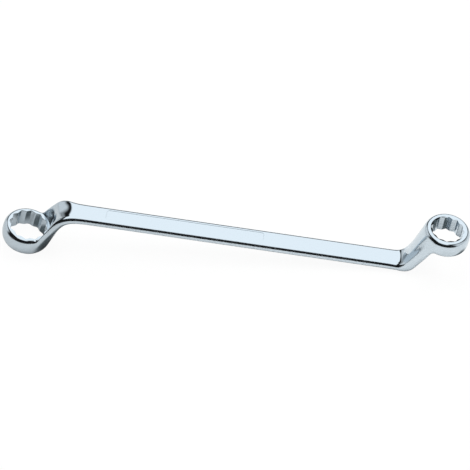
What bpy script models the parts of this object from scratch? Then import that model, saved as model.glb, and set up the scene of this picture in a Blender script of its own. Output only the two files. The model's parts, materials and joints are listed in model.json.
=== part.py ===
# Double-ended ring spanner, deep offset, one drop forging with two twelve-point rings.
# Metres, +Z up. The tool lies on a bench as it does in use: on the lower ring and on the heel
# of the other neck. Origin: middle of its footprint, on the bench. X runs along the shank.

import math

import bmesh
import bpy
from mathutils import Matrix, Vector

MM = 0.001

# Shank: a flat bar with rounded edges and slightly crowned sides.
SHANK_WIDTH = 14.1 * MM
SHANK_THICKNESS = 5.6 * MM
SHANK_EDGE = 1.3 * MM
SHANK_CROWN = 0.26 * MM
RING_SPACING = 270.4 * MM

# Shallow panel pressed into the face of the shank that is up at rest.
PANEL_LENGTH = 103.5 * MM
PANEL_OFFSET = -32.5 * MM
PANEL_MARGIN = 1.85 * MM
PANEL_DEPTH = 0.22 * MM
PANEL_CORNER = 1.9 * MM

# The two ends. The lower ring is the larger one.
# across_flats: jaw size. wall: metal outside the points of the bore. height: ring, face to face.
# offset: middle of the ring from the middle of the shank. tilt: ring plane against the shank.
# instep, heel: inner and outer corner of the neck, from the middle of the ring.
# bulge: how far the middle of the ring's wall stands out from its ends.
# flare_shares: how far each station is on its way from the shank's width to the ring's.
LARGE_END = {
    "across_flats": 22.0 * MM,
    "wall": 2.9 * MM,
    "height": 13.0 * MM,
    "offset": 23.7 * MM,
    "tilt": 7.0,
    "instep": 25.3 * MM,
    "heel": 20.6 * MM,
    "bulge": 0.65 * MM,
    "flare_shares": (0.0, 0.01, 0.11, 0.3, 0.48, 0.64, 0.78, 0.9),
}
SMALL_END = {
    "across_flats": 19.0 * MM,
    "wall": 3.9 * MM,
    "height": 11.6 * MM,
    "offset": 30.0 * MM,
    "tilt": 3.0,
    "instep": 24.8 * MM,
    "heel": 19.6 * MM,
    "bulge": 0.26 * MM,
    "flare_shares": (0.0, 0.0, 0.02, 0.13, 0.36, 0.52, 0.66, 0.82),
}
BORE_CLEARANCE = 0.15 * MM
RING_EDGE = 1.3 * MM
RING_RIM_GUARD = 0.55 * MM
# Mouths of a bore: a turned lead-in at the working face, a small break along the star at the other.
MOUTH_LIP = 0.12 * MM
MOUTH_SLOPE = 12.0
STAR_BREAK = 0.15 * MM
CUT_OVERRUN = 0.3 * MM

# Necks: lengths of the bends, along the middle and along the edges of either face. The flat of
# the shank ends in a D at the inner corner, and in a round thumbnail at the outer one.
NECK_INNER_BEND = 1.7 * MM
NECK_INNER_EDGE_BEND = 3.6 * MM
NECK_OUTER_BEND = 7.2 * MM
NECK_OUTER_EDGE_BEND = 4.3 * MM
NECK_LEAD_IN = 9.5 * MM

POINTS = 12
COLUMNS = 24
NECK_COLUMNS = 4
PANEL_STEPS = 5
SETTLING_ROUNDS = 6
SUBDIVISIONS = 1
SHARP_ANGLE = 60.0
# One round of subdivision draws a 24-sided loop in to this share of its radius.
ROUND_SHARE = 0.9915
# How crisp the corner stays where the neck's scooped face meets the rim of its ring.
FOOT_CREASE_SHARE = 0.8
# Ridges between the points of the bore, and its points, as shares of the jaw size.
RIDGE_SHARE = 0.5 / math.cos(math.pi / POINTS)
POINT_SHARE = 0.5 / math.cos(2 * math.pi / POINTS)

# Stations further than this from the corner, in bend lengths, are spread over the lead-in.
LEAD_START_SHARE = 1.7
# At a fully soft station: how far the last line of the inner face is drawn in, and how far
# the first line of the side is let down.
SOFT_INNER_SHARE = 0.16
SOFT_SIDE_SHARE = 0.14
# Crown in the middle of the side, where the cage has to overshoot, against that near its edges.
CROWN_MIDDLE_SHARE = 1.5

# Places across half of the shank's flat, as shares of its half width.
ACROSS_SHARES = (0.0, 0.29, 0.58, 0.843, 1.0)
# Stations from the shank to the ring.
# bend: shares of the bend length before (-) or after (+) the corner. rise: share of the neck.
# soft: how round the edges of the inner face are.
STATION_SHARES = (
    {"bend": -4.0, "rise": 0.0, "soft": 0.0},
    {"bend": -2.6, "rise": 0.0, "soft": 0.0},
    {"bend": -1.7, "rise": 0.0, "soft": 0.1},
    {"bend": -0.75, "rise": 0.0, "soft": 0.5},
    {"bend": 0.75, "rise": 0.0, "soft": 1.0},
    {"bend": 0.75, "rise": 0.25, "soft": 1.0},
    {"bend": 0.75, "rise": 0.5, "soft": 0.9},
    {"bend": 0.75, "rise": 0.77, "soft": 0.6},
)


def clear_scene():
    for old in list(bpy.data.objects):
        bpy.data.objects.remove(old, do_unlink=True)


def chrome_plate():
    material = bpy.data.materials.new("bright_chrome_plate")
    material.use_nodes = True
    shader = material.node_tree.nodes["Principled BSDF"]
    shader.inputs["Base Color"].default_value = (0.66, 0.69, 0.72, 1)
    shader.inputs["Metallic"].default_value = 1.0
    shader.inputs["Roughness"].default_value = 0.14
    return material


def outer_radius(end):
    return end["across_flats"] / math.sqrt(3) + end["wall"]


def ring_matrix(end):
    """Places a ring, modelled about its own axis, at its end of the shank."""
    move = Matrix.Translation(Vector((RING_SPACING / 2, 0, end["offset"])))
    return move @ Matrix.Rotation(math.radians(end["tilt"]), 4, "Y")


def circle(radius, height, place):
    """A loop of the ring's cage. Column 0 faces the shank, and the columns run towards +Y."""
    points = []
    for column in range(COLUMNS):
        angle = 2 * math.pi * column / COLUMNS
        x = -radius / ROUND_SHARE * math.cos(angle)
        y = radius / ROUND_SHARE * math.sin(angle)
        points.append(place @ Vector((x, y, height)))
    return points


def skin(mesh, first, second, columns):
    """Quads between two closed loops, along the columns given."""
    for column in columns:
        after = (column + 1) % len(first)
        mesh.faces.new((first[column], first[after], second[after], second[column]))


def ring_cage(mesh, end):
    """The ring as a solid disc with rounded edges. Returns the open loop that the neck joins."""
    radius = outer_radius(end)
    half = end["height"] / 2
    place = ring_matrix(end)
    wall = half - RING_EDGE
    rows = (
        (radius - RING_EDGE - RING_RIM_GUARD, half),
        (radius - RING_EDGE, half),
        (radius, wall),
        (radius + end["bulge"], wall / 3),
        (radius + end["bulge"], -wall / 3),
        (radius, -wall),
        (radius - RING_EDGE, -half),
        (radius - RING_EDGE - RING_RIM_GUARD, -half),
    )
    loops = []
    for row_radius, height in rows:
        loops.append([mesh.verts.new(point) for point in circle(row_radius, height, place)])
    everything = range(COLUMNS)
    away = range(NECK_COLUMNS, COLUMNS - NECK_COLUMNS)
    for row in range(len(rows) - 1):
        under_neck = 2 <= row <= 5
        skin(mesh, loops[row + 1], loops[row], away if under_neck else everything)
    mesh.faces.new(loops[0][::-1])
    mesh.faces.new(loops[-1])
    left_to_right = range(-NECK_COLUMNS, NECK_COLUMNS + 1)
    inner = [loops[2][column] for column in left_to_right]
    outer = [loops[6][column] for column in reversed(left_to_right)]
    crease = mesh.edges.layers.float.get("crease_edge") or mesh.edges.layers.float.new("crease_edge")
    for first, second in zip(outer, outer[1:]):
        mesh.edges.get((first, second))[crease] = FOOT_CREASE_SHARE
    far_side = [loops[row][NECK_COLUMNS] for row in (3, 4, 5)]
    near_side = [loops[row][-NECK_COLUMNS] for row in (5, 4, 3)]
    return inner + far_side + outer + near_side


def bent(corner, finish, bend, station):
    """A place on one line of the neck, from the shank round its corner up to the ring."""
    if station["bend"] < 0:
        lead = min(0, station["bend"] + LEAD_START_SHARE) * (NECK_LEAD_IN - bend)
        near = max(station["bend"], -LEAD_START_SHARE) * bend
        return corner.x + near + lead, corner.z
    start = corner + (finish - corner).normalized() * station["bend"] * bend
    place = start.lerp(finish, station["rise"])
    return place.x, place.z


def neck_loop(end, station, flare):
    """One cross-section of the shank or neck, in the order that ring_cage gives."""
    place = ring_matrix(end)
    radius = outer_radius(end)
    half = end["height"] / 2
    widest = radius * math.sin(2 * math.pi * NECK_COLUMNS / COLUMNS)
    half_width = SHANK_WIDTH / 2 + flare * (widest - SHANK_WIDTH / 2)
    instep = Vector((RING_SPACING / 2 - end["instep"], 0, SHANK_THICKNESS / 2))
    heel = Vector((RING_SPACING / 2 - end["heel"], 0, -SHANK_THICKNESS / 2))
    inner, outer = [], []
    for column in range(-NECK_COLUMNS, NECK_COLUMNS + 1):
        across = 2 * math.pi * column / COLUMNS
        top = place @ Vector((-radius * math.cos(across), 0, half - RING_EDGE))
        foot = place @ Vector(((RING_EDGE - radius) * math.cos(across), 0, -half))
        share = math.copysign(ACROSS_SHARES[abs(column)], column)
        inner_bend = NECK_INNER_BEND + (NECK_INNER_EDGE_BEND - NECK_INNER_BEND) * share**2
        beside_edge = abs(column) == NECK_COLUMNS - 1
        soft = 1 - SOFT_INNER_SHARE * station["soft"] if beside_edge else 1
        x, z = bent(instep, top, inner_bend, station)
        inner.append(Vector((x, half_width * share * soft, z)))
        outer_bend = NECK_OUTER_BEND + (NECK_OUTER_EDGE_BEND - NECK_OUTER_BEND) * share**2
        x, z = bent(heel, foot, outer_bend, station)
        outer.append(Vector((x, half_width * share, z)))
    edge_share = SHANK_EDGE / SHANK_THICKNESS
    first_share = edge_share + SOFT_SIDE_SHARE * station["soft"]
    middle_crown = SHANK_CROWN * CROWN_MIDDLE_SHARE
    side_shares = ((first_share, SHANK_CROWN), (0.5, middle_crown), (1 - edge_share, SHANK_CROWN))
    far_side, near_side = [], []
    for share, crown in side_shares:
        far_side.append(inner[-1].lerp(outer[-1], share) + Vector((0, crown, 0)))
        near_side.append(inner[0].lerp(outer[0], share) - Vector((0, crown, 0)))
    return inner + far_side + outer[::-1] + near_side[::-1]


def end_cage(mesh, end):
    """A ring and its neck. The open end of the shank is left for the bridge."""
    open_loop = ring_cage(mesh, end)
    columns = range(len(open_loop))
    for station, flare in zip(reversed(STATION_SHARES), reversed(end["flare_shares"])):
        loop = [mesh.verts.new(point) for point in neck_loop(end, station, flare)]
        skin(mesh, open_loop, loop, columns)
        open_loop = loop
    return open_loop


def spanner_cage():
    """Both ends in one mesh, the large one turned half a turn about Y, and the shank between."""
    mesh = bmesh.new()
    end_cage(mesh, LARGE_END)
    bmesh.ops.rotate(mesh, verts=mesh.verts, matrix=Matrix.Rotation(math.pi, 3, "Y"))
    end_cage(mesh, SMALL_END)
    open_edges = [edge for edge in mesh.edges if edge.is_boundary]
    bmesh.ops.bridge_loops(mesh, edges=open_edges)
    bmesh.ops.recalc_face_normals(mesh, faces=mesh.faces)
    return mesh


def as_object(mesh, name):
    data = bpy.data.meshes.new(name)
    mesh.to_mesh(data)
    mesh.free()
    made = bpy.data.objects.new(name, data)
    bpy.context.scene.collection.objects.link(made)
    return made


def stack(outlines, name):
    """A closed solid through outlines that all have the same number of points."""
    mesh = bmesh.new()
    loops = [[mesh.verts.new(point) for point in outline] for outline in outlines]
    for lower, upper in zip(loops, loops[1:]):
        skin(mesh, lower, upper, range(len(lower)))
    mesh.faces.new(loops[0][::-1])
    mesh.faces.new(loops[-1])
    bmesh.ops.recalc_face_normals(mesh, faces=mesh.faces)
    return as_object(mesh, name)


def star(jaws, growth, heights, place):
    """The twelve-point outline of a bore. A point faces the shank, as column 0 of the ring.
    The first height is that of the points, the second that of the ridges between them."""
    outline = []
    for corner in range(2 * POINTS):
        angle = math.pi * corner / POINTS
        share = RIDGE_SHARE if corner % 2 else POINT_SHARE
        reach = jaws * share + growth
        height = heights[corner % 2]
        outline.append(place @ Vector((-reach * math.cos(angle), reach * math.sin(angle), height)))
    return outline


def bore_cutter(end, half_turn, name):
    """A bore that runs out past both faces of its ring. At the working face it is turned out to a
    round mouth, which reaches deeper at the ridges. At the back face the star is broken a little."""
    place = half_turn @ ring_matrix(end)
    jaws = end["across_flats"] + BORE_CLEARANCE
    face = end["height"] / 2
    slope = math.tan(math.radians(MOUTH_SLOPE))
    lip = jaws * POINT_SHARE + MOUTH_LIP
    under_mouth = [face - (lip - jaws * share) * slope for share in (POINT_SHARE, RIDGE_SHARE)]
    outlines = (
        circle((lip + CUT_OVERRUN / slope) * ROUND_SHARE, face + CUT_OVERRUN, place),
        star(jaws, 0, under_mouth, place),
        star(jaws, 0, [STAR_BREAK - face] * 2, place),
        star(jaws, STAR_BREAK + CUT_OVERRUN, [-face - CUT_OVERRUN] * 2, place),
    )
    return stack(outlines, name)


def panel_outline(height):
    half_length = PANEL_LENGTH / 2 - PANEL_CORNER
    half_width = SHANK_WIDTH / 2 - PANEL_MARGIN - PANEL_CORNER
    outline = []
    for step in range(4 * PANEL_STEPS):
        turn = step // PANEL_STEPS
        angle = math.pi / 2 * (turn + step % PANEL_STEPS / (PANEL_STEPS - 1))
        side_x = 1 if turn in (0, 3) else -1
        side_y = 1 if turn in (0, 1) else -1
        x = PANEL_OFFSET + side_x * half_length + PANEL_CORNER * math.cos(angle)
        y = side_y * half_width + PANEL_CORNER * math.sin(angle)
        outline.append(Vector((x, y, height)))
    return outline


def panel_cutter(name):
    surface = SHANK_THICKNESS / 2
    return stack([panel_outline(surface - PANEL_DEPTH), panel_outline(surface + CUT_OVERRUN)], name)


def cut(target, cutter):
    cutter.hide_render = True
    cutter.display_type = "WIRE"
    modifier = target.modifiers.new(cutter.name, "BOOLEAN")
    modifier.operation = "DIFFERENCE"
    modifier.solver = "EXACT"
    modifier.object = cutter


def evaluated_points(target):
    bpy.context.view_layer.update()
    graph = bpy.context.evaluated_depsgraph_get()
    finished = target.evaluated_get(graph)
    mesh = finished.to_mesh()
    points = [vertex.co.copy() for vertex in mesh.vertices]
    finished.to_mesh_clear()
    return points


def resting_place(points):
    """Lays the tool on the bench: on the lowest point of each end, with the origin under it."""
    turn = Matrix.Identity(4)
    for _ in range(SETTLING_ROUNDS):
        turned = [turn @ point for point in points]
        left = min((point for point in turned if point.x < 0), key=lambda point: point.z)
        right = min((point for point in turned if point.x > 0), key=lambda point: point.z)
        slope = math.atan2(right.z - left.z, right.x - left.x)
        turn = Matrix.Rotation(slope, 4, "Y") @ turn
    turned = [turn @ point for point in points]
    lowest = min(point.z for point in turned)
    middle = (min(point.x for point in turned) + max(point.x for point in turned)) / 2
    return Matrix.Translation(Vector((-middle, 0, -lowest))) @ turn


def main():
    clear_scene()
    spanner = as_object(spanner_cage(), "spanner_forging")
    spanner.data.materials.append(chrome_plate())
    spanner.data.shade_smooth()
    spanner.data.set_sharp_from_angle(angle=math.radians(SHARP_ANGLE))
    subdivide = spanner.modifiers.new("round_off", "SUBSURF")
    subdivide.levels = SUBDIVISIONS
    subdivide.render_levels = SUBDIVISIONS
    subdivide.use_limit_surface = False
    half_turn = Matrix.Rotation(math.pi, 4, "Y")
    cutters = [
        bore_cutter(LARGE_END, half_turn, "large_bore_cutter"),
        bore_cutter(SMALL_END, Matrix.Identity(4), "small_bore_cutter"),
        panel_cutter("panel_cutter"),
    ]
    for cutter in cutters:
        cut(spanner, cutter)
    resting = resting_place(evaluated_points(spanner))
    for laid in [spanner] + cutters:
        laid.matrix_world = resting


main()
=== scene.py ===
# Ring spanner 19 x 22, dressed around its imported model.
# The body is modelled about the middle of its shank, in millimetres turned to metres,
# and laid on the bench at the end, where the mount on the shank says that the bench has it.

import json
import math

import bmesh
import bpy
from mathutils import Matrix, Vector


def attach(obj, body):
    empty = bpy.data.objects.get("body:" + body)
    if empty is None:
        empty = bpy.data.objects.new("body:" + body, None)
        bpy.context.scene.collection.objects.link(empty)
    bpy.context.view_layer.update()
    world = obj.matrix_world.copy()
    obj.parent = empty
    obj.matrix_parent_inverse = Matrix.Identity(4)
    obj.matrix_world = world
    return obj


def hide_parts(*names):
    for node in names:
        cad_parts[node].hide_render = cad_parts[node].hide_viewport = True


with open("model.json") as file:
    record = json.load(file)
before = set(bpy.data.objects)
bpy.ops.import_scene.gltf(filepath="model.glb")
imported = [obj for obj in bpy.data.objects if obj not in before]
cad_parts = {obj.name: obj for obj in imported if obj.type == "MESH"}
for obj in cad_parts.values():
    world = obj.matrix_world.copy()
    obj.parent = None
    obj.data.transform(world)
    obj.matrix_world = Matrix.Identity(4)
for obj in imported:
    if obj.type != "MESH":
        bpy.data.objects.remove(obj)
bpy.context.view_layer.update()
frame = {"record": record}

mm = 0.001
print("frame loaded")


# Settings of the body, in millimetres and degrees

bodySettings = {
    "shankWidth": 14.5,
    "shankThickness": 5.6,
    "shankEdge": 1.45,        # rounding along the four edges of the shank
    "shankCrown": 0.26,       # how far the sides of the shank bulge
    "midCrown": 1.5,          # times that in the middle of a side
    "ringSpacing": 270.4,
    "columns": 24,            # one for each corner and each ridge of the star
    "neckColumns": 4,         # columns that the neck takes up to each side of the shank
    "edgeDraw": 1.2,          # how far the edges of the flats are drawn in
    "rimEdge": 1.5,           # rounding between a ring's face and its wall
    "rimGuard": 0.7,
    "mouthLip": 0.12,         # turned mouth on the working face: outside the corners of the star
    "mouthSlope": 12.0,
    "starBreak": 0.15,        # small break along the star on the other face
    "boreClearance": 0.15,
    "innerBend": 1.7,         # the neck's corners, along the middle of the face
    "innerEdgeBend": 3.6,     # and along its edges
    "outerBend": 7.2,
    "outerEdgeBend": 4.3,
    "leadIn": 9.5,            # length of shank before the corner that is drawn into the bend
    "leadStart": 1.7,         # bend lengths before the corner where the lead-in begins
    "softInner": 0.16,        # shares that round the inner face where the neck is softest
    "softSide": 0.14,
    "footCrease": 0.8,
    "ridgeCrease": 0.55,      # ridges and corners of the bore keep a small radius
    "mouthCrease": 0.7,
    "levels": 3,
    "sharpAngle": 32,         # edges flatter than this are shaded smooth
    "mountPlace": 62.0,       # the mount on the shank's upper flat, from the middle of the shank
}

# Each end: jaw size, metal outside the corners of the bore, height of the ring, its middle above
# the middle of the shank, its lean, inner and outer corner of the neck from the ring's middle,
# bulge of the wall, and how far each station has widened from the shank to the ring.
largeEnd = {
    "jaw": 22.0, "wall": 2.9, "height": 13.0, "offset": 23.7, "lean": 7.0,
    "instep": 25.3, "heel": 20.6, "bulge": 0.65,
    "flare": (0.0, 0.01, 0.11, 0.3, 0.48, 0.64, 0.78, 0.9),
}
smallEnd = {
    "jaw": 19.0, "wall": 3.9, "height": 11.6, "offset": 30.0, "lean": 3.0,
    "instep": 24.8, "heel": 19.6, "bulge": 0.26,
    "flare": (0.0, 0.0, 0.02, 0.13, 0.36, 0.52, 0.66, 0.82),
}

# Stations along a neck: bend is in bend lengths before (-) or after (+) the corner, rise is the
# way up to the ring, soft is how round the edges of the inner face are.
neckStations = (
    {"bend": -4.0, "rise": 0.0, "soft": 0.0},
    {"bend": -2.6, "rise": 0.0, "soft": 0.0},
    {"bend": -bodySettings["leadStart"], "rise": 0.0, "soft": 0.1},
    {"bend": -0.75, "rise": 0.0, "soft": 0.5},
    {"bend": 0.75, "rise": 0.0, "soft": 1.0},
    {"bend": 0.75, "rise": 0.25, "soft": 1.0},
    {"bend": 0.75, "rise": 0.5, "soft": 0.9},
    {"bend": 0.75, "rise": 0.77, "soft": 0.6},
)
acrossFlat = (0.0, 0.24, 0.46, 0.66, 1.0)   # places of the neck's lines over half of the flat

# How parts of the mesh are told apart when they are picked
pickSettings = {
    "same": 0.02,             # mm: places this close are one
    "onRow": 0.05,            # mm off a row
    "aboveFoot": 0.1,         # mm above the foot of the wall
    "wallShare": 0.97,        # of the flat rim's radius, beyond which the wall starts
    "sameColumn": 0.5,        # columns apart
    "facingDown": -0.9,       # upward part of the normal
}


# Small helpers for work in edit mode

def deselectAll():
    if bpy.context.object and bpy.context.object.mode != "OBJECT":
        bpy.ops.object.mode_set(mode="OBJECT")
    bpy.ops.object.select_all(action="DESELECT")


def startEditing(piece, mode="VERT"):
    deselectAll()
    piece.select_set(True)
    bpy.context.view_layer.objects.active = piece
    bpy.ops.object.mode_set(mode="EDIT")
    bpy.ops.mesh.select_mode(type=mode)
    bpy.ops.mesh.select_all(action="DESELECT")


def selectWhere(kind, test):
    # picks the vertices, edges or faces whose middle passes the test
    mesh = bmesh.from_edit_mesh(bpy.context.object.data)
    bpy.ops.mesh.select_all(action="DESELECT")
    for part in getattr(mesh, kind):
        corners = [part] if kind == "verts" else part.verts
        middle = sum((corner.co for corner in corners), Vector()) / len(corners)
        if test(middle, part):
            part.select = True
    mesh.select_flush_mode()
    bmesh.update_edit_mesh(bpy.context.object.data)


def columnOf(point):
    # column 0 faces the shank, and the columns run towards +Y
    return math.atan2(point.y, -point.x) / (2 * math.pi) * bodySettings["columns"]


def applyPlace(piece, matrix):
    deselectAll()
    piece.select_set(True)
    bpy.context.view_layer.objects.active = piece
    piece.matrix_world = matrix
    bpy.ops.object.transform_apply(location=True, rotation=True, scale=True)


# The rings

def roundShare():
    # what the rounds of subdivision leave of the radius of a loop
    share = 1.0
    for level in range(bodySettings["levels"]):
        step = 2 * math.pi / bodySettings["columns"] / 2 ** level
        share *= (3 + math.cos(step)) / 4
    return share


def outerRadius(end):
    return end["jaw"] / math.sqrt(3) + end["wall"]


def ringPlace(end):
    s = bodySettings
    middle = Vector((s["ringSpacing"] / 2, 0, end["offset"])) * mm
    return Matrix.Translation(middle) @ Matrix.Rotation(math.radians(end["lean"]), 4, "Y")


def starReach(end, column):
    # from the axis to a corner (even columns) or a ridge (odd columns) of the star
    half = (end["jaw"] + bodySettings["boreClearance"]) / 2
    points = bodySettings["columns"] / 2
    flatTurns = 2 if column % 2 == 0 else 1
    return half / math.cos(flatTurns * math.pi / points)


def ringRows(end):
    # radius and height at the corners and at the ridges: from the mouth out, down and back up
    s = bodySettings
    radius = outerRadius(end)
    half = end["height"] / 2
    wall = half - s["rimEdge"]
    drawn = roundShare()
    mouth = starReach(end, 0) + s["mouthLip"]
    reaches = (starReach(end, 0), starReach(end, 1))
    slope = math.tan(math.radians(s["mouthSlope"]))
    rows = []

    def roundRow(size, height):
        rows.append(((size / drawn, height), (size / drawn, height)))

    roundRow(mouth, half)
    roundRow(radius - s["rimEdge"] - s["rimGuard"], half)
    roundRow(radius - s["rimEdge"], half)
    roundRow(radius, wall)
    roundRow(radius + end["bulge"], wall / 3)
    roundRow(radius + end["bulge"], -wall / 3)
    roundRow(radius, -wall)
    roundRow(radius - s["rimEdge"], -half)
    roundRow(radius - s["rimEdge"] - s["rimGuard"], -half)
    rows.append(tuple((reach + s["starBreak"], -half) for reach in reaches))
    rows.append(tuple((reach, s["starBreak"] - half) for reach in reaches))
    rows.append(tuple((reach, half - (mouth - reach) * slope) for reach in reaches))
    roundRow(mouth, half)
    return rows


def shapeRow(previous, row):
    # takes the tagged row from its old sizes and heights to its new ones,
    # the corners and the ridges apart
    for parity in (0, 1):
        size = row[parity][0] / previous[parity][0]
        rise = row[parity][1] - previous[parity][1]

        def ofParity(point, vertex):
            return vertex.tag and round(columnOf(point)) % 2 == parity

        selectWhere("verts", ofParity)
        bpy.ops.transform.translate(value=(0, 0, rise * mm))
        bpy.ops.transform.resize(value=(size, size, 1), center_override=(0, 0, 0))


def tagPicked():
    mesh = bmesh.from_edit_mesh(bpy.context.object.data)
    for vertex in mesh.verts:
        vertex.tag = vertex.select


def modelRing(end, name):
    s = bodySettings
    rows = ringRows(end)
    deselectAll()
    size, height = rows[0][0]
    bpy.ops.mesh.primitive_circle_add(
        vertices=s["columns"], radius=size * mm, location=(0, 0, height * mm))
    ring = bpy.context.object
    ring.name = name
    bpy.ops.object.transform_apply(location=True, rotation=True, scale=True)
    startEditing(ring)
    bpy.ops.mesh.select_all(action="SELECT")
    tagPicked()
    for before, row in zip(rows, rows[1:]):
        pickTagged()
        bpy.ops.mesh.extrude_region_move()
        tagPicked()
        shapeRow(before, row)
    bpy.ops.mesh.select_all(action="SELECT")
    # the last row closes on the first
    bpy.ops.mesh.remove_doubles(threshold=pickSettings["same"] * mm)
    bpy.ops.mesh.normals_make_consistent(inside=False)
    creaseBore(end)
    openForNeck(end)
    bpy.ops.object.mode_set(mode="OBJECT")
    return ring


def pickTagged():
    mesh = bmesh.from_edit_mesh(bpy.context.object.data)
    bpy.ops.mesh.select_all(action="DESELECT")
    for vertex in mesh.verts:
        vertex.select = vertex.tag
    mesh.select_flush_mode()
    bmesh.update_edit_mesh(bpy.context.object.data)


def creaseBore(end):
    s = bodySettings
    half = end["height"] / 2 * mm
    starLimit = (starReach(end, 0) + s["starBreak"] + pickSettings["same"]) * mm
    mouthLimit = (starReach(end, 0) + s["mouthLip"]) / roundShare() * mm
    tolerance = pickSettings["onRow"] * mm

    def along(edge):
        first, second = (v.co for v in edge.verts)
        return abs(columnOf(first) - columnOf(second)) < pickSettings["sameColumn"]

    def onMouth(point, edge):
        onFace = abs(abs(point.z) - half) < tolerance
        return onFace and all(abs(v.co.xy.length - mouthLimit) < tolerance for v in edge.verts)

    def onStar(point, edge):
        inBore = all(v.co.xy.length < starLimit for v in edge.verts)
        return inBore and not along(edge)

    def downBore(point, edge):
        inBore = all(v.co.xy.length < starLimit for v in edge.verts)
        return inBore and along(edge)

    bpy.ops.mesh.select_mode(type="EDGE")
    creases = (
        (onMouth, s["mouthCrease"]), (onStar, s["mouthCrease"]), (downBore, s["ridgeCrease"]))
    for test, crease in creases:
        selectWhere("edges", test)
        bpy.ops.transform.edge_crease(value=crease)


def openForNeck(end):
    # takes out the wall's quads that the neck grows from
    s = bodySettings
    half = end["height"] / 2
    wall = half - s["rimEdge"]
    inner = (outerRadius(end) - s["rimEdge"]) * mm
    bpy.ops.mesh.select_mode(type="FACE")

    def underNeck(point, face):
        inRows = pickSettings["aboveFoot"] - half < point.z / mm < wall
        outside = point.xy.length > inner * pickSettings["wallShare"]
        return inRows and outside and abs(columnOf(point)) < s["neckColumns"]

    selectWhere("faces", underNeck)
    bpy.ops.mesh.delete(type="FACE")


# The necks

def bentPlace(corner, finish, bend, station):
    # a place on one line of the neck, from the shank round its corner up to the ring
    s = bodySettings
    if station["bend"] < 0:
        lead = min(0, station["bend"] + s["leadStart"]) * (s["leadIn"] - bend)
        near = max(station["bend"], -s["leadStart"]) * bend
        return corner.x + near + lead, corner.z
    start = corner + (finish - corner).normalized() * station["bend"] * bend
    place = start.lerp(finish, station["rise"])
    return place.x, place.z


def neckLines(end, inMm):
    # corner and finish of every line along the inner and the outer face, in millimetres
    s = bodySettings
    radius = outerRadius(end)
    half = end["height"] / 2
    instep = Vector((s["ringSpacing"] / 2 - end["instep"], 0, s["shankThickness"] / 2))
    heel = Vector((s["ringSpacing"] / 2 - end["heel"], 0, -s["shankThickness"] / 2))
    inner, outer = [], []
    for column in range(-s["neckColumns"], s["neckColumns"] + 1):
        turn = 2 * math.pi * column / s["columns"]
        top = inMm @ Vector((-radius * math.cos(turn), 0, half - s["rimEdge"]))
        foot = inMm @ Vector(((s["rimEdge"] - radius) * math.cos(turn), 0, -half))
        inner.append((instep, top))
        outer.append((heel, foot))
    return inner, outer


def neckLoop(end, station, flare):
    # one section of the shank or neck: inner face, far side, outer face, near side
    s = bodySettings
    inMm = ringPlace(end)
    inMm.translation /= mm
    innerLines, outerLines = neckLines(end, inMm)
    sineOfLast = math.sin(2 * math.pi * s["neckColumns"] / s["columns"])
    widest = outerRadius(end) * sineOfLast
    halfWidth = s["shankWidth"] / 2 + flare * (widest - s["shankWidth"] / 2)
    inner, outer = [], []
    for index in range(len(innerLines)):
        column = index - s["neckColumns"]
        onFlat = math.copysign(acrossFlat[abs(column)], column)
        onRing = math.sin(2 * math.pi * column / s["columns"]) / sineOfLast
        share = onFlat + (onRing - onFlat) * station["rise"]
        innerBend = s["innerBend"] + (s["innerEdgeBend"] - s["innerBend"]) * share ** 2
        outerBend = s["outerBend"] + (s["outerEdgeBend"] - s["outerBend"]) * share ** 2
        besideEdge = abs(column) == s["neckColumns"] - 1
        soft = 1 - s["softInner"] * station["soft"] if besideEdge else 1
        drawnIn = 0
        if abs(column) == s["neckColumns"]:
            drawnIn = math.copysign(s["edgeDraw"] * (1 - station["rise"]), column)
        x, z = bentPlace(*innerLines[index], innerBend, station)
        inner.append(Vector((x, halfWidth * share * soft - drawnIn, z)))
        x, z = bentPlace(*outerLines[index], outerBend, station)
        outer.append(Vector((x, halfWidth * share - drawnIn, z)))
    edge = s["shankEdge"] / s["shankThickness"]
    sideShares = (
        (edge + s["softSide"] * station["soft"], s["shankCrown"]),
        (0.5, s["midCrown"] * s["shankCrown"]),
        (1 - edge, s["shankCrown"]),
    )
    farSide, nearSide = [], []
    for share, crown in sideShares:
        out = Vector((0, crown + s["edgeDraw"] * (1 - station["rise"]), 0))
        farSide.append(inner[-1].lerp(outer[-1], share) + out)
        nearSide.append(inner[0].lerp(outer[0], share) - out)
    loop = inner + farSide + outer[::-1] + nearSide[::-1]
    return [point * mm for point in loop]


def ringOpening(end):
    # the corners of the hole in the ring's wall, in the order of a neck's section: rows 3 and 7
    # of the ring are the wall's top and the rim's outer end at the foot, 4 to 6 lie between
    s = bodySettings
    rows = ringRows(end)
    place = ringPlace(end)

    def corner(row, column):
        size, height = rows[row][0]
        turn = 2 * math.pi * column / s["columns"]
        return place @ (Vector((-size * math.cos(turn), size * math.sin(turn), height)) * mm)

    across = range(-s["neckColumns"], s["neckColumns"] + 1)
    inner = [corner(3, column) for column in across]
    outer = [corner(7, column) for column in reversed(across)]
    farSide = [corner(row, s["neckColumns"]) for row in (4, 5, 6)]
    nearSide = [corner(row, -s["neckColumns"]) for row in (6, 5, 4)]
    return inner + farSide + outer + nearSide


def extrudeOnto(loop, target):
    # extrudes the picked open edge and puts each new vertex on its place
    bpy.ops.mesh.extrude_region_move()
    mesh = bmesh.from_edit_mesh(bpy.context.object.data)
    picked = [vertex for vertex in mesh.verts if vertex.select]
    matched = [min(picked, key=lambda vertex: (vertex.co - point).length) for point in loop]
    for vertex, place in zip(matched, target):
        vertex.co = place
    bmesh.update_edit_mesh(bpy.context.object.data)


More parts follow.
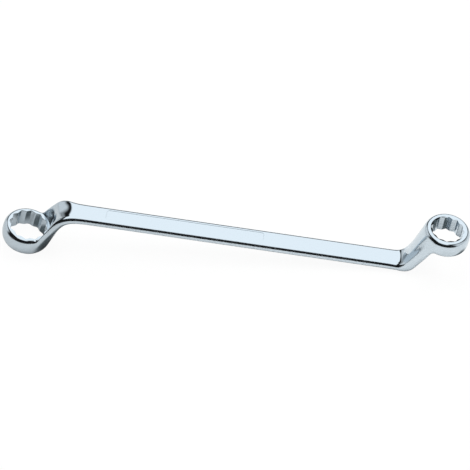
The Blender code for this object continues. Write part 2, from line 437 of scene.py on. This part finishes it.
def modelEnd(end, name):
    s = bodySettings
    ring = modelRing(end, name)
    applyPlace(ring, ringPlace(end))
    loop = ringOpening(end)
    startEditing(ring, "EDGE")
    selectWhere("edges", lambda point, edge: edge.is_boundary)
    for station, flare in zip(reversed(neckStations), reversed(end["flare"])):
        target = neckLoop(end, station, flare)
        extrudeOnto(loop, target)
        loop = target
    creaseFoot(end)
    bpy.ops.object.mode_set(mode="OBJECT")
    return ring


def creaseFoot(end):
    # the corner where the neck's outer face meets the rim
    s = bodySettings
    foot = ringOpening(end)[2 * s["neckColumns"] + 4: 4 * s["neckColumns"] + 5]

    def onFoot(point, edge):
        gaps = [min((v.co - place).length for place in foot) for v in edge.verts]
        return max(gaps) < pickSettings["same"] * mm

    selectWhere("edges", onFoot)
    bpy.ops.transform.edge_crease(value=s["footCrease"])


# The shank with its pressed panel

panelSettings = {
    "length": 103.5,
    "offset": -32.5,      # middle of the panel from the middle of the shank
    "margin": 2.8,
    "depth": 0.18,
    "corner": 1.9,
    "cornerSteps": 8,
    "draft": 0.2,         # how far the panel's walls lean out
    "overrun": 0.4,
}


def modelPanelCutter():
    s, p = bodySettings, panelSettings
    width = s["shankWidth"] - 2 * p["margin"]
    floorZ = s["shankThickness"] / 2 - p["depth"]
    height = p["depth"] + p["overrun"]
    deselectAll()
    bpy.ops.mesh.primitive_cube_add(
        size=mm, location=(0, 0, 0), scale=(p["length"], width, height))
    cutter = bpy.context.object
    cutter.name = "panelCutter"
    place = Vector((p["offset"], 0, floorZ + height / 2)) * mm
    applyPlace(cutter, Matrix.Translation(place) @ cutter.matrix_world)
    startEditing(cutter, "EDGE")

    def upright(point, edge):
        first, second = (v.co for v in edge.verts)
        return abs(first.z - second.z) > p["depth"] * mm

    selectWhere("edges", upright)
    bpy.ops.mesh.bevel(offset=p["corner"] * mm, segments=p["cornerSteps"], profile=0.5)
    bpy.ops.mesh.select_mode(type="FACE")
    selectWhere("faces", lambda point, face: face.normal.z < pickSettings["facingDown"])
    lean = 2 * p["draft"]
    taper = ((p["length"] - lean) / p["length"], (width - lean) / width, 1)
    bpy.ops.transform.resize(value=taper, center_override=place)
    bpy.ops.object.mode_set(mode="OBJECT")
    return cutter


def modelBody():
    s = bodySettings
    large = modelEnd(largeEnd, "largeEnd")
    applyPlace(large, Matrix.Rotation(math.pi, 4, "Y"))
    small = modelEnd(smallEnd, "smallEnd")
    deselectAll()
    large.select_set(True)
    small.select_set(True)
    bpy.context.view_layer.objects.active = small
    bpy.ops.object.join()
    body = bpy.context.object
    body.name = "spannerBody"
    startEditing(body, "EDGE")
    selectWhere("edges", lambda point, edge: edge.is_boundary)
    bpy.ops.mesh.bridge_edge_loops()
    bpy.ops.mesh.select_all(action="SELECT")
    bpy.ops.mesh.normals_make_consistent(inside=False)
    bpy.ops.object.mode_set(mode="OBJECT")
    print("cage closed:", len(body.data.polygons), "quads")
    bpy.ops.object.modifier_add(type="SUBSURF")
    subdivide = body.modifiers[-1]
    subdivide.levels = s["levels"]
    subdivide.render_levels = s["levels"]
    subdivide.use_limit_surface = False
    bpy.ops.object.modifier_apply(modifier=subdivide.name)
    cutter = modelPanelCutter()
    deselectAll()
    body.select_set(True)
    bpy.context.view_layer.objects.active = body
    bpy.ops.object.modifier_add(type="BOOLEAN")
    press = body.modifiers[-1]
    press.operation = "DIFFERENCE"
    press.solver = "EXACT"
    press.object = cutter
    bpy.ops.object.modifier_apply(modifier=press.name)
    bpy.data.objects.remove(cutter, do_unlink=True)
    bpy.ops.object.shade_smooth_by_angle(angle=math.radians(s["sharpAngle"]))
    return body


def benchPlace():
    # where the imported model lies: turned about Y, so that the mount on the shank
    # looks along its axis
    s = bodySettings
    mount = next(m for m in frame["record"]["mounts"] if m["name"] == "shank_upper_flat")
    axis = Vector(mount["axis"])
    turn = Matrix.Rotation(math.atan2(axis.x, axis.z), 4, "Y")
    onShank = Vector((s["mountPlace"], 0, s["shankThickness"] / 2)) * mm
    return Matrix.Translation(Vector(mount["pos_m"]) - turn @ onShank) @ turn


# Materials

def fromHex(text):
    # sRGB hex to linear colour, by the sRGB curve
    channels = [int(text[i:i + 2], 16) / 255 for i in (1, 3, 5)]
    linear = [c / 12.92 if c <= 0.04045 else ((c + 0.055) / 1.055) ** 2.4 for c in channels]
    return (*linear, 1)


def addNode(tree, kind, settings=None, links=None):
    # adds a node, sets its properties and inputs, and links its inputs by name or number
    node = tree.nodes.new(kind)
    for name, value in (settings or {}).items():
        if isinstance(name, str) and hasattr(node, name):
            setattr(node, name, value)
        else:
            node.inputs[name].default_value = value
    for name, source in (links or {}).items():
        tree.links.new(source, node.inputs[name])
    return node


# Sizes, depths and reach in millimetres, leans in degrees
chromeSettings = {
    "tint": "#D2DDE5",
    "roughness": (0.06, 0.14),   # polished flats and rims, forged necks and walls
    "forgedFrom": (18, 40),      # leans over which one turns into the other
    "unevenFrom": (0.3, 0.7),    # heights of the ripple between which the roughness wavers
    "uneven": (0.8, 1.25),       # and how far
    # slow waves that the forging leaves under the plating
    "ripple": {"size": 3.5, "detail": 2.0, "depth": 0.02, "strength": 0.5},
    # fine orange peel
    "grain": {"size": 0.5, "detail": 2.0, "depth": 0.004, "strength": 0.3},
    # polishing lines along the shank, drawn wider than real ones so that they show
    "scratch": {"width": 0.22, "length": 9.0, "detail": 3.0, "depth": 0.003, "strength": 0.3},
    # slanted lines that the grinding leaves on the sides of the shank, some of them duller, with
    # the places from the middle of the shank between which they fade out
    "grind": {"width": 0.9, "length": 12.0, "detail": 2.0, "depth": 0.018, "lean": 40,
              "reach": (92, 112), "dullFrom": (0.42, 0.58), "dull": 0.28},
}


def chromePlate():
    # Bright chrome over a drop-forged, tumbled steel blank: a mirror with a faint blue cast whose
    # reflections waver a little, with fine polishing lines along the shank and duller, slanted
    # grinding lines on its sides
    c = chromeSettings
    ripple, grain, scratch, grind = (c[name] for name in ("ripple", "grain", "scratch", "grind"))
    material = bpy.data.materials.new("chromePlateOnForging")
    material.use_nodes = True
    tree = material.node_tree
    shader = tree.nodes["Principled BSDF"]
    shader.inputs["Base Color"].default_value = fromHex(c["tint"])
    shader.inputs["Metallic"].default_value = 1.0
    place = addNode(tree, "ShaderNodeTexCoord").outputs["Object"]
    slope = benchPlace().to_euler().y
    along = addNode(tree, "ShaderNodeMapping", {"Rotation": (0, -slope, 0)}, {"Vector": place})
    rippleNoise = addNode(tree, "ShaderNodeTexNoise",
                          {"Scale": 1 / (ripple["size"] * mm), "Detail": ripple["detail"]},
                          {"Vector": place})
    grainNoise = addNode(tree, "ShaderNodeTexNoise",
                         {"Scale": 1 / (grain["size"] * mm), "Detail": grain["detail"]},
                         {"Vector": place})
    lines = addNode(tree, "ShaderNodeMapping",
                    {"Scale": (1 / (scratch["length"] * mm), 1 / (scratch["width"] * mm),
                               1 / (scratch["width"] * mm))},
                    {"Vector": along.outputs["Vector"]})
    scratchNoise = addNode(tree, "ShaderNodeTexNoise", {"Scale": 1.0, "Detail": scratch["detail"]},
                           {"Vector": lines.outputs["Vector"]})
    slanted = addNode(tree, "ShaderNodeMapping",
                      {"Rotation": (0, math.radians(grind["lean"]) - slope, 0)}, {"Vector": place})
    grindLines = addNode(tree, "ShaderNodeMapping",
                         {"Scale": (1 / (grind["length"] * mm), 1 / (grind["length"] * mm),
                                    1 / (grind["width"] * mm))},
                         {"Vector": slanted.outputs["Vector"]})
    grindNoise = addNode(tree, "ShaderNodeTexNoise", {"Scale": 1.0, "Detail": grind["detail"]},
                         {"Vector": grindLines.outputs["Vector"]})

    # polished flats, softer forged necks and walls: told apart by the lean of the surface
    normal = addNode(tree, "ShaderNodeNewGeometry").outputs["Normal"]
    level = addNode(tree, "ShaderNodeMapping",
                    {"vector_type": "NORMAL", "Rotation": (0, -slope, 0)}, {"Vector": normal})
    upward = addNode(tree, "ShaderNodeSeparateXYZ", None, {"Vector": level.outputs["Vector"]})
    flatness = addNode(tree, "ShaderNodeMath", {"operation": "ABSOLUTE"},
                       {0: upward.outputs["Z"]})
    polished, forged = (math.cos(math.radians(lean)) for lean in c["forgedFrom"])
    leaning = addNode(tree, "ShaderNodeMapRange",
                      {"interpolation_type": "SMOOTHSTEP", "From Min": polished, "From Max": forged,
                       "To Min": c["roughness"][0], "To Max": c["roughness"][1]},
                      {"Value": flatness.outputs[0]})
    uneven = addNode(tree, "ShaderNodeMapRange",
                     {"From Min": c["unevenFrom"][0], "From Max": c["unevenFrom"][1],
                      "To Min": c["uneven"][0], "To Max": c["uneven"][1]},
                     {"Value": rippleNoise.outputs["Fac"]})
    rough = addNode(tree, "ShaderNodeMath", {"operation": "MULTIPLY"},
                    {0: leaning.outputs["Result"], 1: uneven.outputs["Result"]})

    # the grinding lines keep to the sides of the shank
    sideways = addNode(tree, "ShaderNodeMath", {"operation": "SUBTRACT", 0: 1.0},
                       {1: flatness.outputs[0]})
    onShank = addNode(tree, "ShaderNodeSeparateXYZ", None, {"Vector": along.outputs["Vector"]})
    fromMiddle = addNode(tree, "ShaderNodeMath", {"operation": "ABSOLUTE"},
                         {0: onShank.outputs["X"]})
    fading = addNode(tree, "ShaderNodeMapRange",
                     {"interpolation_type": "SMOOTHSTEP", "From Min": grind["reach"][0] * mm,
                      "From Max": grind["reach"][1] * mm, "To Min": 1.0, "To Max": 0.0},
                     {"Value": fromMiddle.outputs[0]})
    grindStrength = addNode(tree, "ShaderNodeMath", {"operation": "MULTIPLY"},
                            {0: sideways.outputs[0], 1: fading.outputs["Result"]})
    duller = addNode(tree, "ShaderNodeMapRange",
                     {"From Min": grind["dullFrom"][0], "From Max": grind["dullFrom"][1],
                      "To Min": 0.0, "To Max": grind["dull"]},
                     {"Value": grindNoise.outputs["Fac"]})
    roughest = addNode(tree, "ShaderNodeMath", {"operation": "MULTIPLY_ADD"},
                       {0: duller.outputs["Result"], 1: grindStrength.outputs[0],
                        2: rough.outputs[0]})
    tree.links.new(roughest.outputs[0], shader.inputs["Roughness"])

    first = addNode(tree, "ShaderNodeBump",
                    {"Strength": ripple["strength"], "Distance": ripple["depth"] * mm},
                    {"Height": rippleNoise.outputs["Fac"]})
    second = addNode(tree, "ShaderNodeBump",
                     {"Strength": grain["strength"], "Distance": grain["depth"] * mm},
                     {"Height": grainNoise.outputs["Fac"], "Normal": first.outputs["Normal"]})
    third = addNode(tree, "ShaderNodeBump",
                    {"Strength": scratch["strength"], "Distance": scratch["depth"] * mm},
                    {"Height": scratchNoise.outputs["Fac"], "Normal": second.outputs["Normal"]})
    fourth = addNode(tree, "ShaderNodeBump", {"Distance": grind["depth"] * mm},
                     {"Strength": grindStrength.outputs[0], "Height": grindNoise.outputs["Fac"],
                      "Normal": third.outputs["Normal"]})
    tree.links.new(fourth.outputs["Normal"], shader.inputs["Normal"])
    return material


# The studio

studioSettings = {
    "white": "#FAFDFF",
    "darkest": 0.012,
    # soft-edged panels of light, in degrees: middle and half width one way, middle and half width
    # the other way, soft edge, then the strength
    "overhead": (-2.6, 16, 12.5, 42.5, 8, 1.2),      # by lean to the right and lean to the back
    "sides": (                                       # by azimuth (0 is behind) and elevation
        (-69, 25, 10, 28, 20, 0.8),
        (-34, 14, 0, 10, 12, 0.34),
        (62, 20, 14, 20, 12, 0.7),
        (100, 26, 30, 30, 16, 0.75),
    ),
}


def panelLight(tree, first, second, panel):
    # brightness of one panel of the studio in the direction that is looked at
    firstMiddle, firstHalf, secondMiddle, secondHalf, soft, strength = panel
    inside = []
    for source, middle, half in (
            (first, firstMiddle, firstHalf), (second, secondMiddle, secondHalf)):
        away = addNode(tree, "ShaderNodeMath",
                       {"operation": "SUBTRACT", 1: math.radians(middle)}, {0: source})
        size = addNode(tree, "ShaderNodeMath", {"operation": "ABSOLUTE"}, {0: away.outputs[0]})
        edge = addNode(tree, "ShaderNodeMapRange",
                       {"interpolation_type": "SMOOTHSTEP",
                        "From Min": math.radians(half - soft / 2),
                        "From Max": math.radians(half + soft / 2),
                        "To Min": 1.0, "To Max": 0.0}, {"Value": size.outputs[0]})
        inside.append(edge.outputs["Result"])
    both = addNode(tree, "ShaderNodeMath", {"operation": "MULTIPLY"},
                   {0: inside[0], 1: inside[1]})
    lit = addNode(tree, "ShaderNodeMath", {"operation": "MULTIPLY", 1: strength},
                  {0: both.outputs[0]})
    return lit.outputs[0]


def buildWorld():
    s = studioSettings
    world = bpy.data.worlds.new("studio")
    bpy.context.scene.world = world
    world.use_nodes = True
    tree = world.node_tree
    background = tree.nodes["Background"]
    output = tree.nodes["World Output"]
    # the panels are placed about the level shank, so they turn with it onto the bench
    looked = addNode(tree, "ShaderNodeTexCoord").outputs["Generated"]
    slope = benchPlace().to_euler().y
    turned = addNode(tree, "ShaderNodeMapping", {"Rotation": (0, -slope, 0)}, {"Vector": looked})
    parts = addNode(tree, "ShaderNodeSeparateXYZ", None, {"Vector": turned.outputs["Vector"]})
    azimuth = addNode(tree, "ShaderNodeMath", {"operation": "ARCTAN2"},
                      {0: parts.outputs["X"], 1: parts.outputs["Y"]}).outputs[0]
    elevation = addNode(tree, "ShaderNodeMath", {"operation": "ARCSINE"},
                        {0: parts.outputs["Z"]}).outputs[0]
    rightward = addNode(tree, "ShaderNodeMath", {"operation": "ARCSINE"},
                        {0: parts.outputs["X"]}).outputs[0]
    backward = addNode(tree, "ShaderNodeMath", {"operation": "ARCTAN2"},
                       {0: parts.outputs["Y"], 1: parts.outputs["Z"]}).outputs[0]
    brightest = panelLight(tree, rightward, backward, s["overhead"])
    for panel in s["sides"]:
        light = panelLight(tree, azimuth, elevation, panel)
        brightest = addNode(tree, "ShaderNodeMath", {"operation": "MAXIMUM"},
                            {0: brightest, 1: light}).outputs[0]
    level = addNode(tree, "ShaderNodeMath", {"operation": "MAXIMUM", 1: s["darkest"]},
                    {0: brightest})
    background.inputs["Color"].default_value = fromHex(s["white"])
    tree.links.new(level.outputs[0], background.inputs["Strength"])
    plain = addNode(tree, "ShaderNodeBackground", {"Color": (1, 1, 1, 1), "Strength": 1.0})
    rays = addNode(tree, "ShaderNodeLightPath")
    shown = addNode(tree, "ShaderNodeMixShader", None,
                    {0: rays.outputs["Is Camera Ray"], 1: background.outputs[0],
                     2: plain.outputs[0]})
    tree.links.new(shown.outputs[0], output.inputs["Surface"])


floorSettings = {
    "radius": 12.0,        # m
    "corners": 96,
    "roughness": 0.9,
    "paper": "#F2F2F1",
    "far": "#4A5456",      # painted shade: the dark colour that the metal sees where the paper's colour is darkened
    "glow": 1.02,          # plain white that the paper gives by itself
    "seenGlow": 0.92,      # share of it to the camera, the rest keeps the tool's shadow
    "metalGlow": 0.03,     # and in the metal
    "paintedShadeLeft": (-0.16, 0.06, 0.2),      # m: painted shade in the metal, darker from the right value on towards the left one, up to the last share
    "shade": (                          # m: middle, radius and depth of painted shade spots by the rings, seen only in the metal
        ((-0.1325, 0.003, 0), 0.0065, 0.95),
        ((-0.116, -0.01, 0), 0.0125, 0.95),
        ((0.1555, -0.003, 0), 0.0105, 1.0),
    ),
    "shadeEdge": (0.6, 1.4),            # of the radius, from full shade to none
}


def addFloor():
    # matt white paper, which looks plain white to the camera but for the tool's shadow
    f = floorSettings
    deselectAll()
    bpy.ops.mesh.primitive_circle_add(
        vertices=f["corners"], radius=f["radius"], fill_type="NGON", location=(0, 0, 0))
    floor = bpy.context.object
    floor.name = "studioFloor"
    material = bpy.data.materials.new("mattStudioPaper")
    material.use_nodes = True
    tree = material.node_tree
    shader = tree.nodes["Principled BSDF"]
    output = tree.nodes["Material Output"]
    shader.inputs["Roughness"].default_value = f["roughness"]
    shader.inputs["Specular IOR Level"].default_value = 0.0
    rays = addNode(tree, "ShaderNodeLightPath")
    ground = addNode(tree, "ShaderNodeTexCoord").outputs["Object"]
    place = addNode(tree, "ShaderNodeSeparateXYZ", None, {"Vector": ground})
    # painted shade: in the metal the paper's colour darkens to the left, and painted spots deepen
    # the shade of the rings
    near, far, most = f["paintedShadeLeft"]
    left = addNode(tree, "ShaderNodeMapRange",
                   {"interpolation_type": "SMOOTHSTEP", "From Min": near, "From Max": far,
                    "To Min": most, "To Max": 0.0}, {"Value": place.outputs["X"]})
    dimmed = left.outputs["Result"]
    full, none = f["shadeEdge"]
    # each spot is painted shade, darkening the paper's colour round its middle
    for middle, radius, depth in f["shade"]:
        away = addNode(tree, "ShaderNodeVectorMath", {"operation": "DISTANCE", 1: middle},
                       {0: ground})
        spot = addNode(tree, "ShaderNodeMapRange",
                       {"interpolation_type": "SMOOTHSTEP", "From Min": full * radius,
                        "From Max": none * radius, "To Min": depth, "To Max": 0.0},
                       {"Value": away.outputs["Value"]})
        dimmed = addNode(tree, "ShaderNodeMath", {"operation": "MAXIMUM"},
                         {0: dimmed, 1: spot.outputs["Result"]}).outputs[0]
    # painted shade goes into the paper's colour for glossy rays only, so only the metal shows it
    inMetal = addNode(tree, "ShaderNodeMath", {"operation": "MULTIPLY"},
                      {0: dimmed, 1: rays.outputs["Is Glossy Ray"]})
    colour = addNode(tree, "ShaderNodeMix", {"data_type": "RGBA"}, {0: inMetal.outputs[0]})
    colour.inputs[6].default_value = fromHex(f["paper"])   # sockets 6, 7 and 2 hold colours
    colour.inputs[7].default_value = fromHex(f["far"])
    tree.links.new(colour.outputs[2], shader.inputs["Base Color"])
    glow = addNode(tree, "ShaderNodeEmission", {"Color": (1, 1, 1, 1), "Strength": f["glow"]})
    metalGlow = addNode(tree, "ShaderNodeMath", {"operation": "MULTIPLY", 1: f["metalGlow"]},
                        {0: rays.outputs["Is Glossy Ray"]})
    glowShare = addNode(tree, "ShaderNodeMath", {"operation": "MULTIPLY_ADD", 1: f["seenGlow"]},
                        {0: rays.outputs["Is Camera Ray"], 2: metalGlow.outputs[0]})
    shown = addNode(tree, "ShaderNodeMixShader", None,
                    {0: glowShare.outputs[0], 1: shader.outputs[0], 2: glow.outputs[0]})
    tree.links.new(shown.outputs[0], output.inputs["Surface"])
    floor.data.materials.append(material)


# Lamps: azimuth (0 is behind) and elevation in degrees, distance, width and height in metres
lampSettings = {
    "keySoftbox": {"azimuth": 0, "elevation": 52, "distance": 1.6,
                   "width": 0.7, "height": 0.4, "radiance": 4.0},
    "rightSoftbox": {"azimuth": 65, "elevation": 50, "distance": 1.6,
                     "width": 0.45, "height": 0.3, "radiance": 7.0},
    "topFill": {"azimuth": 0, "elevation": 89, "distance": 1.5,
                "width": 1.0, "height": 1.0, "radiance": 3.5},
}


def addSoftbox(name):
    box = lampSettings[name]
    azimuth, elevation = math.radians(box["azimuth"]), math.radians(box["elevation"])
    direction = Vector((math.sin(azimuth) * math.cos(elevation),
                        math.cos(azimuth) * math.cos(elevation), math.sin(elevation)))
    bpy.ops.object.light_add(type="AREA", location=direction * box["distance"])
    lamp = bpy.context.object
    lamp.name = name
    lamp.rotation_euler = direction.to_track_quat("Z", "Y").to_euler()
    lamp.data.shape = "RECTANGLE"
    lamp.data.size = box["width"]
    lamp.data.size_y = box["height"]
    lamp.data.energy = box["radiance"] * box["width"] * box["height"] * math.pi
    lamp.visible_glossy = False   # the metal shows the panels of the studio


cameraSettings = {
    "azimuth": 1.0,        # degrees, round the tool as it is modelled, with its shank level
    "elevation": 47.2717,
    "roll": 7.5235,
    "distance": 2111.1,    # mm
    "slide": (0.61076, 0.8972),   # mm to the right and up
    "lens": 248.585,       # mm, as the sensor
    "sensor": 36.0,
    "clipEnd": 100.0,      # m
}


def addCamera():
    c = cameraSettings
    azimuth, elevation, roll = (
        math.radians(c[name]) for name in ("azimuth", "elevation", "roll"))
    back = Vector((math.sin(azimuth) * math.cos(elevation),
                   -math.cos(azimuth) * math.cos(elevation), math.sin(elevation)))
    level = Vector((math.cos(azimuth), math.sin(azimuth), 0))
    upright = back.cross(level)
    right = level * math.cos(roll) + upright * math.sin(roll)
    up = upright * math.cos(roll) - level * math.sin(roll)
    spot = back * c["distance"] + right * c["slide"][0] + up * c["slide"][1]
    turn = Matrix((right, up, back)).transposed().to_4x4()
    bpy.ops.object.camera_add()
    camera = bpy.context.object
    camera.name = "photoCamera"
    camera.matrix_world = benchPlace() @ Matrix.Translation(spot * mm) @ turn
    camera.data.lens = c["lens"]
    camera.data.sensor_width = c["sensor"]
    camera.data.clip_end = c["clipEnd"]
    bpy.context.scene.camera = camera


addCamera()
print("camera placed")
body = modelBody()
applyPlace(body, benchPlace())
body.data.materials.clear()
body.data.materials.append(chromePlate())
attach(body, "root")
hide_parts("spanner_forging")
print("body modelled:", len(body.data.polygons), "faces")

buildWorld()
addFloor()
for name in lampSettings:
    addSoftbox(name)
print("studio lit")

bpy.context.scene.view_settings.view_transform = "Standard"
deselectAll()
